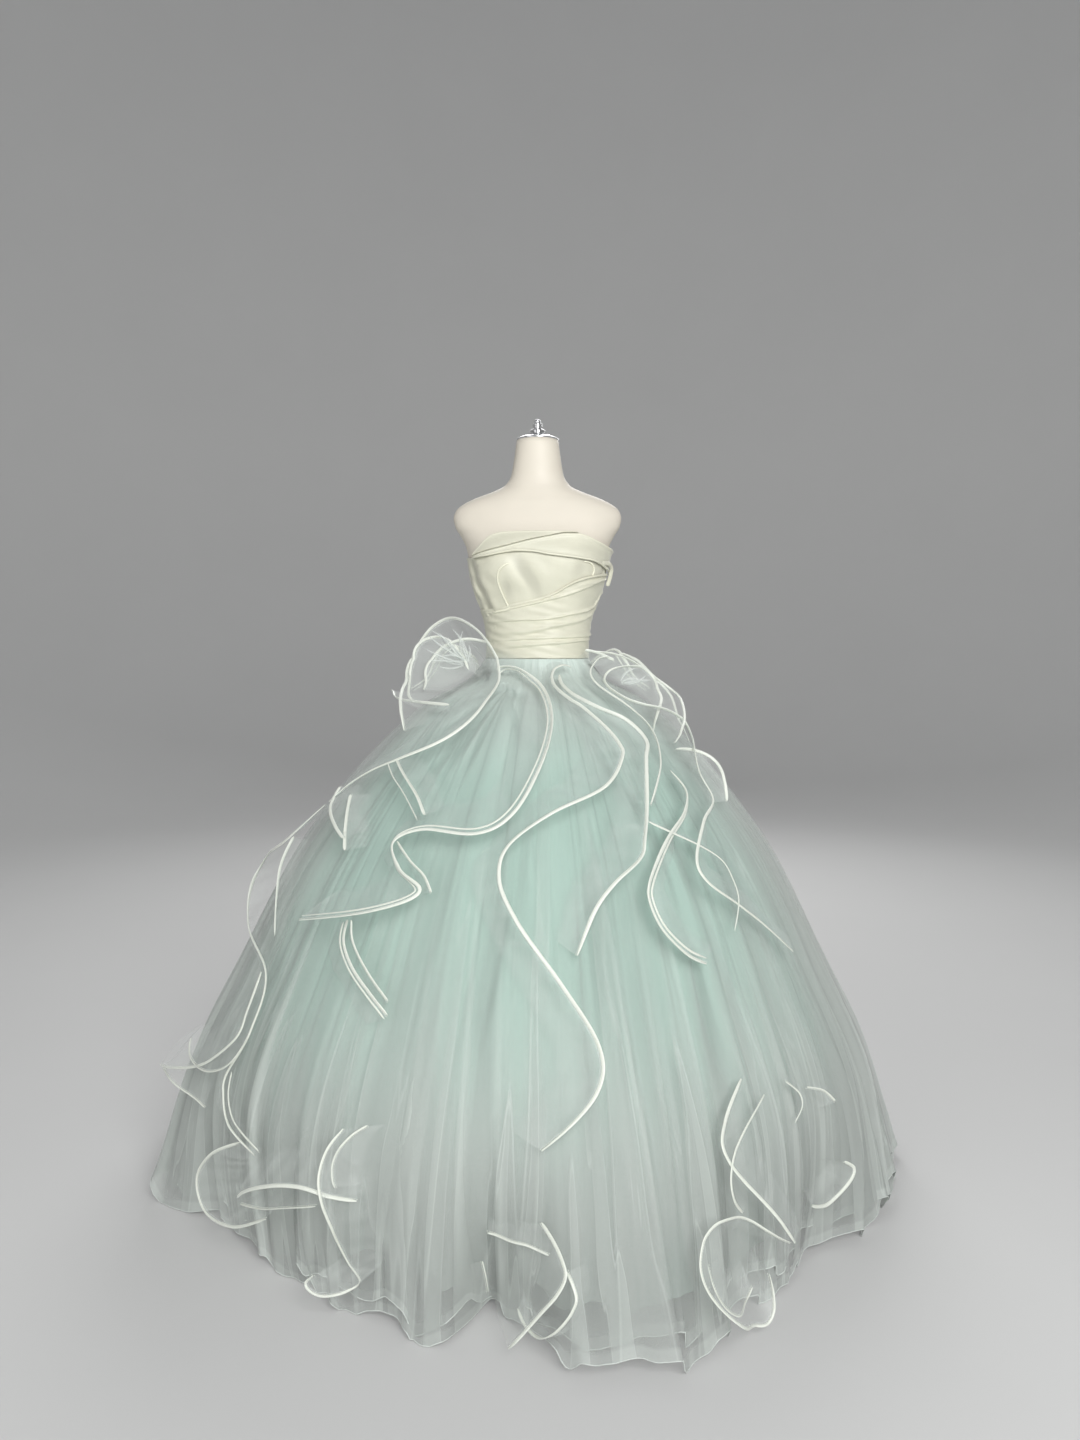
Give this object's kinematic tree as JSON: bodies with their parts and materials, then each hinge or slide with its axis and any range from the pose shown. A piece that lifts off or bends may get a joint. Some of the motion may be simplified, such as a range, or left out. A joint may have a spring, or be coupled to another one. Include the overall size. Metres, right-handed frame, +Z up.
{
  "type": "ball gown on a dress form",
  "caption": "Strapless full-length ball gown with a draped satin bodice, a very full pleated tulle skirt and cascading satin-bound organza flounces, on a limbless dress form with a round foot.",
  "frame": {"origin": "centre of the stand foot's flat underside, on the floor, under the dress form's pole", "axes": "+Z up, the gown's front faces -Y, +X to the right of someone who looks at the front"},
  "size_m": [1.6451, 1.6255, 1.6539],
  "materials": {
    "form_shell": "smooth cream-white matt shell",
    "stand_metal": "polished silver metal",
    "satin": "ivory satin with a soft sheen",
    "zip_tape": "ivory woven zip tape",
    "tulle": "layered mint tulle under paler net",
    "organza": "sheer white organza",
    "binding": "ivory satin bias binding"
  },
  "bodies": {
    "root": {"form_torso": "form_shell", "form_neck_cap": "stand_metal", "stand_pole": "stand_metal", "stand_base": "stand_metal", "bodice_front": "satin", "bodice_side_front_left": "satin", "bodice_side_front_right": "satin", "bodice_back_left": "satin", "bodice_back_right": "satin", "bodice_waist_drape": "satin", "neckline_fold_upper": "satin", "neckline_fold_lower": "satin", "neckline_fold_tab": "satin", "bodice_back_zip": "zip_tape", "skirt_front": "tulle", "skirt_front_right": "tulle", "skirt_back_right": "tulle", "skirt_back": "tulle", "skirt_back_left": "tulle", "skirt_front_left": "tulle", "flounce_left_crest": "organza", "flounce_left_fall": "organza", "flounce_left_tip": "organza", "flounce_left_hook": "organza", "flounce_left_mid": "organza", "flounce_centre_fall": "organza", "flounce_right_inner": "organza", "flounce_right_hook": "organza", "flounce_right_sweep": "organza", "flounce_right_fall": "organza", "flounce_right_side": "organza", "flounce_right_low_fall": "organza", "flounce_right_low_loop": "organza", "flounce_left_low_loop": "organza", "flounce_left_low_band": "organza", "flounce_left_low_fall": "organza", "flounce_centre_low_fall": "organza", "flounce_centre_low_loop": "organza", "flounce_back_left": "organza", "flounce_back_right": "organza", "binding_left_crest": "binding", "binding_left_fall": "binding", "binding_left_tip": "binding", "binding_left_hook": "binding", "binding_left_mid": "binding", "binding_centre_fall": "binding", "binding_right_inner": "binding", "binding_right_hook": "binding", "binding_right_sweep": "binding", "binding_right_fall": "binding", "binding_right_side": "binding", "binding_right_low_fall": "binding", "binding_right_low_loop": "binding", "binding_left_low_loop": "binding", "binding_left_low_band": "binding", "binding_left_low_fall": "binding", "binding_centre_low_fall": "binding", "binding_centre_low_loop": "binding", "binding_back_left": "binding", "binding_back_right": "binding"}
  },
  "joints": []
}
